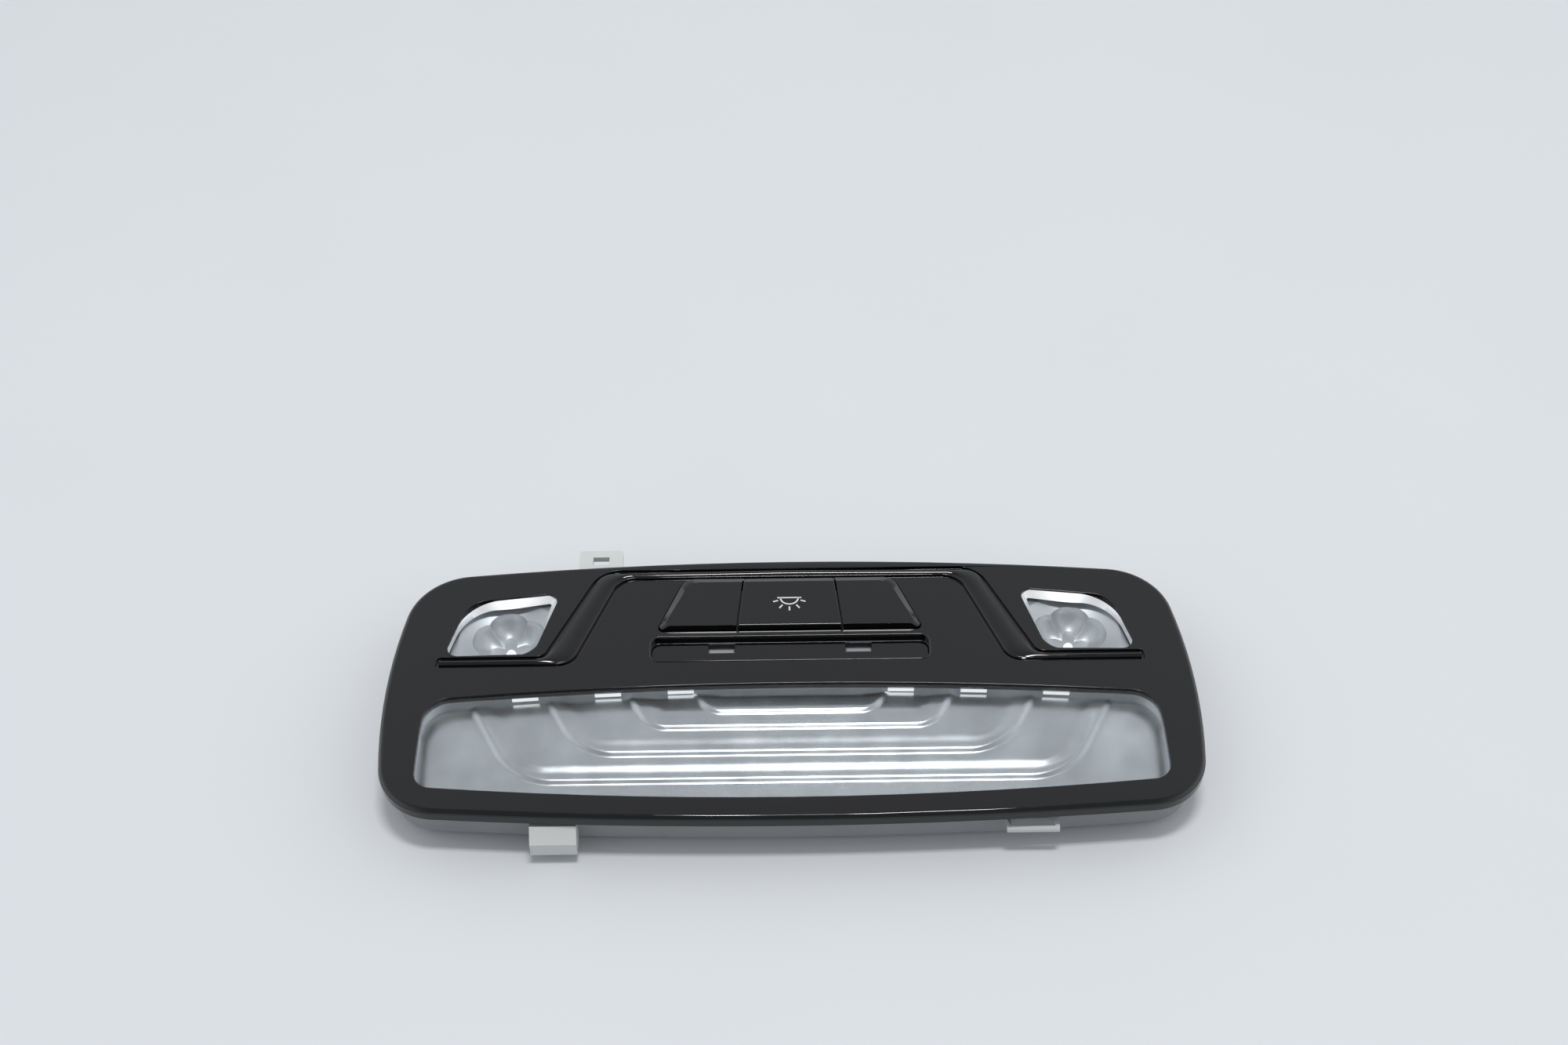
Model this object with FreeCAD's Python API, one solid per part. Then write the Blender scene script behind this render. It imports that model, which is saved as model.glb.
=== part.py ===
"""Overhead interior light of a car, lying on its back with its face up.

Millimetres, +Z up. The origin is the middle of the flat back, X runs along the lamp and +Y points to its
rear edge, where the connector is. Sizes come first, then helpers, then one function for each piece.
"""
import FreeCAD
import Part
import math
import os

Vector = FreeCAD.Vector

# Bezel outline: four shallow arcs with rounded corners
BEZEL_WIDTH = 216.0
BEZEL_DEPTH = 88.5
REAR_BOW = 950.0
FRONT_BOW = 1250.0
SIDE_BOW = 170.0
WIDEST_Y = -5.4
REAR_CORNER = 18.0
FRONT_CORNER = 16.0

# Heights and walls of the bezel and the housing
RIM_BOTTOM = 11.9
RIM_HEIGHT = 3.6
FACE_WALL = 2.0
RIM_WALL = 2.0
EDGE_ROUND = 1.4
TUB_INSET = 3.0
TUB_WALL = 1.5
TUB_BOTTOM = 3.0
BASE_INSET = 8.5
FLOOR_WALL = 1.6
FIT_GAP = 0.2

# Wide lens window
WINDOW_WIDTH = 194.6
WINDOW_REAR = -0.45
WINDOW_FRONT = -37.65
WINDOW_REAR_BOW = 1100.0
WINDOW_FRONT_BOW = 1000.0
WINDOW_SIDE_BOW = 300.0
WINDOW_WIDEST_Y = -18.5
WINDOW_REAR_CORNER = 8.0
WINDOW_FRONT_CORNER = 5.0
LENS_SINK = 0.5
LENS_FLANGE = 1.8
LENS_FLANGE_WALL = 1.2

# Terraced reflector under the lens
REFLECTOR_MARGIN = 0.8
REFLECTOR_WALL = 1.0
REFLECTOR_BASE_WALL = 2.2
TERRACE_STEP = 1.2
TERRACE_RUN = 1.6
TERRACE_REAR_MARGIN = 14.0
TERRACE_FLARE = 0.54
TERRACE_FRONTS = (-27.2, -19.5, -12.0, -7.4)
TERRACE_HALF_WIDTHS = (73.5, 56.6, 38.4, 22.7)
TERRACE_CORNERS = (10.0, 9.0, 5.0, 4.0)

# Side-firing lamps in the reflector's rear wall
LED_X = (29.5, 49.0, 71.0)
LED_WIDTH = 7.0
LED_TALL = 1.3
LED_DEEP = 1.0
LED_MARGIN = 0.15
STRIP_THICK = 0.4
STRIP_TALL = 4.0
STRIP_END_MARGIN = 6.0

# Reading lamps: aperture corners on the right side, as (x, y) with their rounding
APERTURE_INNER_REAR = (63.3, 32.65)
APERTURE_OUTER_REAR = (88.7, 29.55)
APERTURE_OUTER_FRONT = (93.7, 10.25)
APERTURE_INNER_FRONT = (69.5, 10.75)
APERTURE_ROUNDS = (2.6, 8.0, 3.0, 4.5)
READING_FLANGE = 1.6
READING_LENS_WALL = 1.2
READING_DISH_DROP = 1.5
DISH_RADIUS = 19.0
BOWL_X = 77.0
BOWL_Y = 19.15
BOWL_RADIUS = 9.6
BOWL_BOTTOM_RADIUS = 3.2
BOWL_BULGE = 0.72
READING_LED_SIZE = 3.4
READING_LED_BASE = 0.8
READING_LED_DOME = 1.2

# Relief band: corners of its outer and inner edge on the right side
BAND_OUTER_REAR = (52.7, 40.9)
BAND_OUTER_FRONT = (66.9, 9.75)
BAND_OUTER_ROUNDS = (9.0, 3.0)
BAND_INNER_REAR = (46.7, 36.9)
BAND_INNER_FRONT = (58.5, 6.2)
BAND_INNER_ROUNDS = (6.0, 7.0)
BAND_END_X = 95.4
BAND_END_ROUND = 1.2
BAND_GROOVE = 1.0
BAND_DEPTH = 0.9
BAND_CROWN = 0.35

# Button row: opening corners on the right side
OPENING_FRONT = (36.6, 17.95)
OPENING_REAR = (29.2, 37.25)
OPENING_FRONT_ROUND = 1.5
OPENING_REAR_ROUND = 5.0
BUTTON_GAP = 0.4
SPLIT_FRONT_X = 14.5
SPLIT_REAR_X = 12.5
BUTTON_PROUD = 1.6
BUTTON_BEVEL_DROP = 1.1
BUTTON_BEVEL_REAR = 2.2
BUTTON_BEVEL_SIDE = 1.6
BUTTON_BEVEL_FRONT = 0.4
BUTTON_WALL = 1.4
BUTTON_SKIRT = 2.7
BUTTON_TRAVEL = 1.0
STEM_RADIUS = 1.7
STEM_GAP = 0.25
SIDE_STEM_X = 23.5
STEM_Y = 27.6

# Strip pocket below the buttons, with two slots in its floor
POCKET_HALF_WIDTH = 37.8
POCKET_FRONT = 7.5
POCKET_REAR = 16.2
POCKET_ROUND = 2.5
POCKET_DEPTH = 1.8
POCKET_FLOOR = 1.4
POCKET_SLOPE = 0.9
SLOT_X = 18.6
SLOT_WIDTH = 7.0
SLOT_DEPTH = 3.2
SLOT_REAR_MARGIN = 1.4

# Board, switches and button carrier
BOARD_BOTTOM = 3.2
BOARD_WALL = 1.6
BOARD_FRONT = 6.0
BOARD_SIDE_REAR = (84.0, 27.5)
BOARD_MID_REAR = (56.0, 32.0)
BOARD_CORNER = 3.0
SWITCH_SIZE = 6.0
SWITCH_HEIGHT = 3.2
PLUNGER_RADIUS = 1.5
PLUNGER_GAP = 0.2
PLUNGER_SINK = 1.1
PLUNGER_PROUD = 1.4
STOP_GAP = 0.3
CARRIER_WALL = 1.4
CARRIER_HALF_WIDTH = 40.0
CARRIER_FRONT = 8.4
CARRIER_REAR = 36.0
CARRIER_LEG = 3.0
CARRIER_ROUND = 3.0
TONGUE_WALL = 1.0
TONGUE_GAP = 0.3

# Connector at the rear edge
CONNECTOR_X = 50.0
HEADER_WIDTH = 15.0
HEADER_HEIGHT = 6.6
HEADER_LENGTH = 12.0
HEADER_WALL = 1.0
HEADER_BACK_WALL = 1.6
HEADER_SETBACK = 0.6
PIN_COUNT = 4
PIN_PITCH = 2.54
PIN_SIZE = 0.64
PIN_LENGTH = 4.0
PIN_TAIL_SET = 1.0

# Screws from the back
SCREW_REAR = (50.0, 20.5)
SCREW_SIDE = (97.8, 2.2)
SCREW_RADIUS = 1.5
SCREW_HEAD_RADIUS = 2.8
SCREW_HEAD_HEIGHT = 2.0
SCREW_HEAD_SINK = 0.4
SCREW_LENGTH = 8.0
SCREW_SOCKET_RADIUS = 1.2
SCREW_SOCKET_DEPTH = 1.2
BOSS_RADIUS = 3.3
POST_RADIUS = 4.3
POST_HEIGHT = 5.0
HOLE_GAP = 0.3

# Clip, catch and tab on the housing
CLIP_X = 61.0
CLIP_WIDTH = 11.9
CLIP_REACH = 3.2
CLIP_DROP = 0.9
CLIP_RAMP = 3.6
CLIP_FOOT = 3.2
CATCH_WIDTH = 13.4
CATCH_REACH = 1.2
CATCH_BAR = 1.1
CATCH_TOP = 8.8
CATCH_WALL = 1.2
TAB_X = -53.4
TAB_WIDTH = 12.4
TAB_REACH = 11.0
TAB_WALL = 1.8
TAB_DROP = 1.9
TAB_ROUND = 1.0
TAB_HOLE_WIDTH = 4.6
TAB_HOLE_DEPTH = 2.9
TAB_HOLE_MARGIN = 2.6

# Posts under the board
BOARD_POSTS = ((79.0, 10.5), (79.0, 24.0), (57.0, 28.0), (30.0, 10.5), (0.0, 29.5))
BOARD_POST_RADIUS = 2.0
OVERLAP = 0.6

# Heights worked out from the sizes above
FACE_Z = RIM_BOTTOM + RIM_HEIGHT
PLATE_Z = FACE_Z - FACE_WALL
FLANGE_Z = PLATE_Z - LENS_FLANGE_WALL
READING_Z = PLATE_Z - READING_LENS_WALL
BOARD_TOP = BOARD_BOTTOM + BOARD_WALL
SWITCH_TOP = BOARD_TOP + SWITCH_HEIGHT
PLUNGER_TOP = SWITCH_TOP + PLUNGER_PROUD
BUTTON_TOP = FACE_Z + BUTTON_PROUD
BUTTON_BOTTOM = FACE_Z - BUTTON_SKIRT
CARRIER_TOP = BUTTON_BOTTOM - BUTTON_TRAVEL - STOP_GAP
POCKET_Z = FACE_Z - POCKET_DEPTH
SLOT_REAR = POCKET_REAR - SLOT_REAR_MARGIN
SLOT_FRONT = SLOT_REAR - SLOT_DEPTH
DISH_Z = READING_Z - READING_DISH_DROP
TUB_FLOOR = TUB_BOTTOM + FLOOR_WALL
REFLECTOR_FLOOR = TUB_FLOOR + REFLECTOR_BASE_WALL
SCREW_SEAT = SCREW_HEAD_SINK + SCREW_HEAD_HEIGHT
HALF_DEPTH = BEZEL_DEPTH / 2
SIDES = (("left", -1), ("right", 1))


def box(x0, x1, y0, y1, z0, z1):
    """Block between two corners."""
    return Part.makeBox(x1 - x0, y1 - y0, z1 - z0, Vector(x0, y0, z0))


def rod(x, y, z0, z1, radius):
    """Upright cylinder."""
    return Part.makeCylinder(radius, z1 - z0, Vector(x, y, z0))


def prism(wire, z0, z1):
    """Flat wire at height zero, raised to z0 and extruded to z1."""
    face = Part.Face(wire)
    face.translate(Vector(0, 0, z0))
    return face.extrude(Vector(0, 0, z1 - z0))


def corner_circle(centre_a, radius_a, centre_b, radius_b, corner, upward):
    """Centre of the rounding that touches two large circles from inside."""
    reach_a = radius_a - corner
    reach_b = radius_b - corner
    span = centre_b - centre_a
    gap = span.Length
    along = (reach_a ** 2 - reach_b ** 2 + gap ** 2) / (2 * gap)
    across = math.sqrt(reach_a ** 2 - along ** 2)
    unit = span * (1 / gap)
    normal = Vector(-unit.y, unit.x, 0)
    picks = (centre_a + unit * along + normal * across, centre_a + unit * along - normal * across)
    return max(picks, key=lambda point: point.y if upward else -point.y)


def toward(start, through, length):
    """Point at a length from start, in the direction of another point."""
    step = through - start
    return start + step * (length / step.Length)


def mirrored(point):
    """The same point on the left side."""
    return Vector(-point.x, point.y, point.z)


def bowed_wire(width, rear, front, bows, widest_y, corners, inset=0.0):
    """Closed outline of four shallow arcs with tangent corner arcs, moved inwards by inset."""
    rear_bow, front_bow, side_bow = bows
    side_centre = Vector(width / 2 - side_bow, widest_y, 0)
    side_radius = side_bow - inset
    right = [Vector(0, rear - inset, 0)]
    ends = ((Vector(0, rear - rear_bow, 0), rear_bow - inset, corners[0] - inset, True),
            (Vector(0, front + front_bow, 0), front_bow - inset, corners[1] - inset, False))
    for centre, radius, corner, upward in ends:
        hub = corner_circle(centre, radius, side_centre, side_radius, corner, upward)
        on_end = toward(centre, hub, radius)
        on_side = toward(side_centre, hub, side_radius)
        middle = toward(hub, (on_end + on_side) * 0.5, corner)
        right.append((on_end, middle, on_side))
    side = side_centre + Vector(side_radius, 0, 0)
    rear_end, rear_mid, rear_side = right[1]
    front_end, front_mid, front_side = right[2]
    bottom = Vector(0, front + inset, 0)
    arcs = [(mirrored(rear_end), right[0], rear_end), (rear_end, rear_mid, rear_side),
            (rear_side, side, front_side), (front_side, front_mid, front_end),
            (front_end, bottom, mirrored(front_end)),
            (mirrored(front_end), mirrored(front_mid), mirrored(front_side)),
            (mirrored(front_side), mirrored(side), mirrored(rear_side)),
            (mirrored(rear_side), mirrored(rear_mid), mirrored(rear_end))]
    return Part.Wire([Part.Arc(*points).toShape() for points in arcs])


def bezel_wire(inset=0.0):
    """Outline of the bezel, moved inwards by inset."""
    return bowed_wire(BEZEL_WIDTH, HALF_DEPTH, -HALF_DEPTH, (REAR_BOW, FRONT_BOW, SIDE_BOW), WIDEST_Y,
                      (REAR_CORNER, FRONT_CORNER), inset)


def window_wire(inset=0.0):
    """Outline of the lens window, moved inwards by inset."""
    bows = (WINDOW_REAR_BOW, WINDOW_FRONT_BOW, WINDOW_SIDE_BOW)
    return bowed_wire(WINDOW_WIDTH, WINDOW_REAR, WINDOW_FRONT, bows, WINDOW_WIDEST_Y,
                      (WINDOW_REAR_CORNER, WINDOW_FRONT_CORNER), inset)


def rounded_wire(points, rounds, z=0.0):
    """Closed polygon with a tangent arc at each corner."""
    corners = [Vector(x, y, z) for x, y in points]
    edges = []
    arcs = []
    for index, corner in enumerate(corners):
        before = (corners[index - 1] - corner).normalize()
        after = (corners[(index + 1) % len(corners)] - corner).normalize()
        half = before.getAngle(after) / 2
        reach = rounds[index] / math.tan(half)
        hub = corner + (before + after).normalize() * (rounds[index] / math.sin(half))
        arcs.append((corner + before * reach, toward(hub, corner, rounds[index]), corner + after * reach))
    for index, arc in enumerate(arcs):
        edges.append(Part.Arc(*arc).toShape())
        edges.append(Part.makeLine(arc[2], arcs[(index + 1) % len(arcs)][0]))
    return Part.Wire(Part.sortEdges(edges)[0])


def grown(points, rounds, offset):
    """Polygon corners moved outwards by an offset, with rounds to suit."""
    moved = []
    for index, point in enumerate(points):
        corner = Vector(point[0], point[1], 0)
        before = (Vector(*points[index - 1], 0) - corner).normalize()
        after = (Vector(*points[(index + 1) % len(points)], 0) - corner).normalize()
        half = before.getAngle(after) / 2
        spot = corner - (before + after).normalize() * (offset / math.sin(half))
        moved.append((spot.x, spot.y))
    return moved, [radius + offset for radius in rounds]


def on_side(points, side):
    """Right-hand corners, or the same corners on the left."""
    return [(side * x, y) for x, y in points]


def aperture_wire(side, offset=0.0, z=0.0):
    """Outline of a reading aperture, grown by an offset."""
    right = (APERTURE_INNER_REAR, APERTURE_OUTER_REAR, APERTURE_OUTER_FRONT, APERTURE_INNER_FRONT)
    points, rounds = grown(right, APERTURE_ROUNDS, offset)
    return rounded_wire(on_side(points, side), rounds, z)


def band_wire():
    """Outline of the relief band, from one arm over the rear strip to the other arm."""
    right = [BAND_OUTER_REAR, BAND_OUTER_FRONT, (BAND_END_X, BAND_OUTER_FRONT[1]),
             (BAND_END_X, BAND_INNER_FRONT[1]), BAND_INNER_FRONT, BAND_INNER_REAR]
    rounds = [*BAND_OUTER_ROUNDS, BAND_END_ROUND, BAND_END_ROUND, *reversed(BAND_INNER_ROUNDS)]
    return rounded_wire(right + on_side(reversed(right), -1), rounds + rounds[::-1])


def opening_points(inset=0.0, bevels=(0.0, 0.0, 0.0)):
    """Corners of the button row: front right, rear right, rear left, front left."""
    rear, side, front = bevels
    right = [(OPENING_FRONT[0] - side, OPENING_FRONT[1] + front),
             (OPENING_REAR[0] - side, OPENING_REAR[1] - rear)]
    points = right + on_side(reversed(right), -1)
    rounds = [OPENING_FRONT_ROUND, OPENING_REAR_ROUND, OPENING_REAR_ROUND, OPENING_FRONT_ROUND]
    return grown(points, rounds, -inset)


def screw_places():
    """The four screw axes."""
    return [(side * x, y) for x, y in (SCREW_REAR, SCREW_SIDE) for _, side in SIDES]


def front_edge(x, inset):
    """Y of the bezel's front edge at an x, moved inwards by inset."""
    radius = FRONT_BOW - inset
    return FRONT_BOW - HALF_DEPTH - math.sqrt(radius ** 2 - x ** 2)


def rear_edge(x, inset):
    """Y of the bezel's rear edge at an x, moved inwards by inset."""
    radius = REAR_BOW - inset
    return HALF_DEPTH - REAR_BOW + math.sqrt(radius ** 2 - x ** 2)


def top_edges(shape, z):
    """Edges that lie wholly at one height."""
    boxes = [(edge, edge.BoundBox) for edge in shape.Edges]
    return [edge for edge, size in boxes if abs(size.ZMin - z) < 1e-4 and size.ZLength < 1e-4]


def make_bezel():
    """Face plate with its rim, windows, relief band, strip pocket and screw bosses."""
    shell = prism(bezel_wire(), RIM_BOTTOM, FACE_Z)
    shell = shell.makeFillet(EDGE_ROUND, top_edges(shell, FACE_Z))
    shell = shell.cut(prism(bezel_wire(RIM_WALL), RIM_BOTTOM, PLATE_Z))
    pocket_pad = box(-POCKET_HALF_WIDTH - POCKET_FLOOR, POCKET_HALF_WIDTH + POCKET_FLOOR,
                     POCKET_FRONT - POCKET_FLOOR, POCKET_REAR, POCKET_Z - POCKET_FLOOR, PLATE_Z + OVERLAP)
    bosses = [rod(x, y, POST_HEIGHT, PLATE_Z + OVERLAP, BOSS_RADIUS) for x, y in screw_places()]
    shell = shell.fuse([pocket_pad] + bosses)

    cuts = [prism(window_wire(), PLATE_Z - OVERLAP, FACE_Z + OVERLAP)]
    cuts += [prism(aperture_wire(side), PLATE_Z - OVERLAP, FACE_Z + OVERLAP) for _, side in SIDES]
    cuts.append(prism(rounded_wire(*opening_points()), POCKET_Z - POCKET_FLOOR - OVERLAP, FACE_Z + OVERLAP))
    cuts.append(pocket_space())
    cuts += [slot_space(side) for _, side in SIDES]
    cuts += [rod(x, y, POST_HEIGHT, SCREW_SEAT + SCREW_LENGTH, SCREW_RADIUS) for x, y in screw_places()]
    cuts.append(prism(band_wire(), FACE_Z - BAND_DEPTH, FACE_Z + OVERLAP))
    shell = shell.cut(cuts)

    bead_face = Part.Face(band_wire()).makeOffset2D(-BAND_GROOVE)
    bead = bead_face.extrude(Vector(0, 0, BAND_DEPTH + OVERLAP))
    bead.translate(Vector(0, 0, FACE_Z - BAND_DEPTH - OVERLAP))
    bead = bead.makeFillet(BAND_CROWN, top_edges(bead, FACE_Z))
    return shell.fuse(bead).removeSplitter()


def pocket_space():
    """Space of the strip pocket, with a sloping rear wall."""
    outlines = []
    for z, slope in ((POCKET_Z, POCKET_SLOPE), (FACE_Z, 0.0)):
        right = [(POCKET_HALF_WIDTH, POCKET_FRONT), (POCKET_HALF_WIDTH, POCKET_REAR - slope)]
        outlines.append(rounded_wire(right + on_side(reversed(right), -1), [POCKET_ROUND] * 4, z))
    return Part.makeLoft(outlines, True, True)


def slot_space(side):
    """One slot through the pocket floor."""
    middle = side * SLOT_X
    return box(middle - SLOT_WIDTH / 2, middle + SLOT_WIDTH / 2, SLOT_FRONT, SLOT_REAR,
               POCKET_Z - POCKET_FLOOR - OVERLAP, POCKET_Z + OVERLAP)


def make_housing():
    """Tub under the bezel on a smaller base, with its posts, clip, catch and rear tab."""
    inner = BASE_INSET + FLOOR_WALL
    tub = prism(bezel_wire(TUB_INSET), TUB_BOTTOM, PLATE_Z)
    tub = tub.cut(prism(bezel_wire(TUB_INSET + TUB_WALL), TUB_FLOOR, PLATE_Z))
    base = prism(bezel_wire(BASE_INSET), 0, TUB_FLOOR)
    tray = tub.fuse(base).cut(prism(bezel_wire(inner), FLOOR_WALL, TUB_FLOOR))

    posts = [rod(x, y, 0, POST_HEIGHT, POST_RADIUS) for x, y in screw_places()]
    spots = sorted({(side * x, y) for x, y in BOARD_POSTS for _, side in SIDES})
    posts += [rod(x, y, 0, BOARD_BOTTOM, BOARD_POST_RADIUS) for x, y in spots]
    tray = tray.fuse(posts + [clip_solid(), catch_solid(), tab_solid()])

    cuts = [connector_space()]
    for x, y in screw_places():
        cuts.append(rod(x, y, 0, SCREW_SEAT, SCREW_HEAD_RADIUS + HOLE_GAP))
        cuts.append(rod(x, y, 0, POST_HEIGHT, SCREW_RADIUS))
    return tray.cut(cuts).removeSplitter()


def clip_solid():
    """Front clip: a wedge that slopes out past the rim, with an upright nose."""
    edge = front_edge(CLIP_X, 0.0)
    wall = front_edge(CLIP_X, TUB_INSET) + TUB_WALL / 2
    top = RIM_BOTTOM - CLIP_DROP
    nose = edge - CLIP_REACH
    profile = [(wall, CLIP_FOOT), (wall, top), (edge, top), (nose, top - CLIP_RAMP), (nose, CLIP_FOOT)]
    points = [Vector(-CLIP_X - CLIP_WIDTH / 2, y, z) for y, z in profile]
    face = Part.Face(Part.makePolygon(points + points[:1]))
    return face.extrude(Vector(CLIP_WIDTH, 0, 0))


def catch_solid():
    """Front catch: a flat loop that reaches just past the rim."""
    edge = front_edge(CLIP_X, 0.0) - CATCH_REACH
    wall = front_edge(CLIP_X, TUB_INSET) + TUB_WALL / 2
    half = CATCH_WIDTH / 2
    low = CATCH_TOP - CATCH_WALL
    plate = box(CLIP_X - half, CLIP_X + half, edge, wall, low, CATCH_TOP)
    hole = box(CLIP_X - half + CATCH_BAR, CLIP_X + half - CATCH_BAR, edge + CATCH_BAR, wall - TUB_WALL,
               low, CATCH_TOP)
    return plate.cut(hole)


def tab_solid():
    """Rear tab with its rectangular hole."""
    wall = rear_edge(TAB_X, TUB_INSET) - TUB_WALL / 2
    end = rear_edge(TAB_X, 0.0) + TAB_REACH
    left = TAB_X - TAB_WIDTH / 2
    right = TAB_X + TAB_WIDTH / 2
    top = RIM_BOTTOM - TAB_DROP
    low = top - TAB_WALL
    outline = [(left, wall), (right, wall), (right, end), (left, end)]
    plate = prism(rounded_wire(outline, [TAB_ROUND] * 4), low, top)
    hole_rear = end - TAB_HOLE_MARGIN
    hole = box(TAB_X - TAB_HOLE_WIDTH / 2, TAB_X + TAB_HOLE_WIDTH / 2, hole_rear - TAB_HOLE_DEPTH, hole_rear,
               low, top)
    return plate.cut(hole)


def header_rear():
    """Y of the connector's mouth, just inside the tub's outer face."""
    return rear_edge(CONNECTOR_X + HEADER_WIDTH / 2, TUB_INSET) - HEADER_SETBACK


def connector_space():
    """Cut-out in the tub's wall around the connector's mouth."""
    half = HEADER_WIDTH / 2 + FIT_GAP
    return box(CONNECTOR_X - half, CONNECTOR_X + half, header_rear() - 2 * TUB_WALL, HALF_DEPTH,
               TUB_FLOOR, BOARD_TOP + HEADER_HEIGHT + FIT_GAP)


def make_main_lens():
    """Clear plate that fills the window, with a flange under the bezel."""
    plate = prism(window_wire(FIT_GAP), FLANGE_Z, FACE_Z - LENS_SINK)
    flange = prism(window_wire(-LENS_FLANGE), FLANGE_Z, PLATE_Z)
    return plate.fuse(flange).removeSplitter()


def make_main_reflector():
    """Tray with nested terraces that step up towards the middle of its rear wall."""
    outer = prism(window_wire(-REFLECTOR_MARGIN - REFLECTOR_WALL), TUB_FLOOR, FLANGE_Z)
    space = prism(window_wire(-REFLECTOR_MARGIN), REFLECTOR_FLOOR, FLANGE_Z)
    tray = outer.cut(space)
    rear = WINDOW_REAR + REFLECTOR_MARGIN + TERRACE_REAR_MARGIN
    terraces = []
    steps = zip(TERRACE_FRONTS, TERRACE_HALF_WIDTHS, TERRACE_CORNERS)
    for level, (front, half, corner) in enumerate(steps, start=1):
        top = REFLECTOR_FLOOR + level * TERRACE_STEP
        right = [(half, front), (half + TERRACE_FLARE * (rear - front), rear)]
        corners = right + on_side(reversed(right), -1)
        rounds = [corner] * len(corners)
        wire = rounded_wire(corners, rounds)
        foot = prism(wire, top - TERRACE_STEP - OVERLAP, top - TERRACE_STEP)
        high_points, high_rounds = grown(corners, rounds, -TERRACE_RUN)
        slope = Part.makeLoft([rounded_wire(corners, rounds, top - TERRACE_STEP),
                               rounded_wire(high_points, high_rounds, top)], True, True)
        terraces += [foot, slope]
    inside = prism(window_wire(-REFLECTOR_MARGIN - REFLECTOR_WALL / 2), REFLECTOR_FLOOR - OVERLAP, FLANGE_Z)
    mound = terraces[0].fuse(terraces[1:]).common(inside)
    solid = tray.fuse(mound)
    windows = [led_block(x * side, 2 * REFLECTOR_WALL, LED_MARGIN) for x in LED_X for _, side in SIDES]
    return solid.cut(windows).removeSplitter()


def led_place(x):
    """Placement of a side-firing lamp on the reflector's curved rear wall, facing forwards."""
    back = WINDOW_REAR_BOW + REFLECTOR_MARGIN + REFLECTOR_WALL
    radius = math.sqrt(back ** 2 - (LED_WIDTH / 2) ** 2)
    turn = math.asin(x / radius)
    centre_y = WINDOW_REAR - WINDOW_REAR_BOW
    spot = Vector(x, centre_y + radius * math.cos(turn), FLANGE_Z - LED_MARGIN - LED_TALL / 2)
    return FreeCAD.Placement(spot, FreeCAD.Rotation(Vector(0, 0, 1), -math.degrees(turn)))


def led_block(x, deep, margin=0.0):
    """Block of a side-firing lamp, or of the window for one, which is grown by a margin."""
    half = LED_WIDTH / 2 + margin
    rise = LED_TALL / 2 + margin
    block = box(-half, half, -deep, margin, -rise, rise)
    block.Placement = led_place(x)
    return block


def make_led_strip():
    """Flexible strip along the back of the reflector's rear wall."""
    reach = REFLECTOR_MARGIN + REFLECTOR_WALL
    hub = Vector(0, WINDOW_REAR - WINDOW_REAR_BOW, FLANGE_Z - STRIP_TALL)
    inner = WINDOW_REAR_BOW + reach
    ring = Part.makeCylinder(inner + STRIP_THICK, STRIP_TALL, hub)
    ring = ring.cut(Part.makeCylinder(inner, STRIP_TALL, hub))
    half = max(LED_X) + LED_WIDTH / 2 + STRIP_END_MARGIN
    keep = box(-half, half, WINDOW_REAR - half, WINDOW_REAR + reach + 2 * STRIP_THICK, 0, FACE_Z)
    return ring.common(keep)


def make_main_leds():
    """Six side-firing lamps on the strip."""
    return Part.makeCompound([led_block(x * side, LED_DEEP) for x in LED_X for _, side in SIDES])


def make_reading_lens(side):
    """Thin clear cover under a reading aperture."""
    return prism(aperture_wire(side, READING_FLANGE), READING_Z, PLATE_Z)


def make_reading_reflector(side):
    """Block under the cover, with a dished surround and a round bowl for the lamp."""
    block = prism(aperture_wire(side, READING_FLANGE), BOARD_TOP, READING_Z)
    centre = Vector(side * BOWL_X, BOWL_Y, 0)
    dish = Part.makeLoft([Part.Wire(Part.makeCircle(BOWL_RADIUS, centre + Vector(0, 0, DISH_Z))),
                          Part.Wire(Part.makeCircle(DISH_RADIUS, centre + Vector(0, 0, READING_Z)))], True)
    dish = dish.common(prism(aperture_wire(side, READING_FLANGE - REFLECTOR_WALL), BOARD_TOP, READING_Z))
    bottom = BOARD_TOP + READING_LED_BASE
    bulge = BOWL_BOTTOM_RADIUS + BOWL_BULGE * (BOWL_RADIUS - BOWL_BOTTOM_RADIUS)
    middle = Vector(bulge, 0, (bottom + DISH_Z) / 2)
    rim = Vector(BOWL_RADIUS, 0, DISH_Z)
    foot = Vector(BOWL_BOTTOM_RADIUS, 0, bottom)
    axis_top = Vector(0, 0, DISH_Z)
    axis_foot = Vector(0, 0, bottom)
    profile = Part.Wire([Part.makeLine(axis_foot, foot), Part.Arc(foot, middle, rim).toShape(),
                         Part.makeLine(rim, axis_top), Part.makeLine(axis_top, axis_foot)])
    bowl = Part.Face(profile).revolve(Vector(0, 0, 0), Vector(0, 0, 1), 360)
    bowl.translate(centre)
    well = rod(centre.x, centre.y, BOARD_TOP, bottom + OVERLAP, BOWL_BOTTOM_RADIUS)
    return block.cut([dish, bowl, well]).removeSplitter()


def make_reading_led(side):
    """Square lamp package with a low dome."""
    x = side * BOWL_X
    half = READING_LED_SIZE / 2
    base = box(x - half, x + half, BOWL_Y - half, BOWL_Y + half, BOARD_TOP, BOARD_TOP + READING_LED_BASE)
    ball = Part.makeSphere(READING_LED_DOME, Vector(x, BOWL_Y, BOARD_TOP + READING_LED_BASE))
    above = box(x - half, x + half, BOWL_Y - half, BOWL_Y + half, BOARD_TOP + READING_LED_BASE, FACE_Z)
    return base.fuse(ball.common(above)).removeSplitter()


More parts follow.
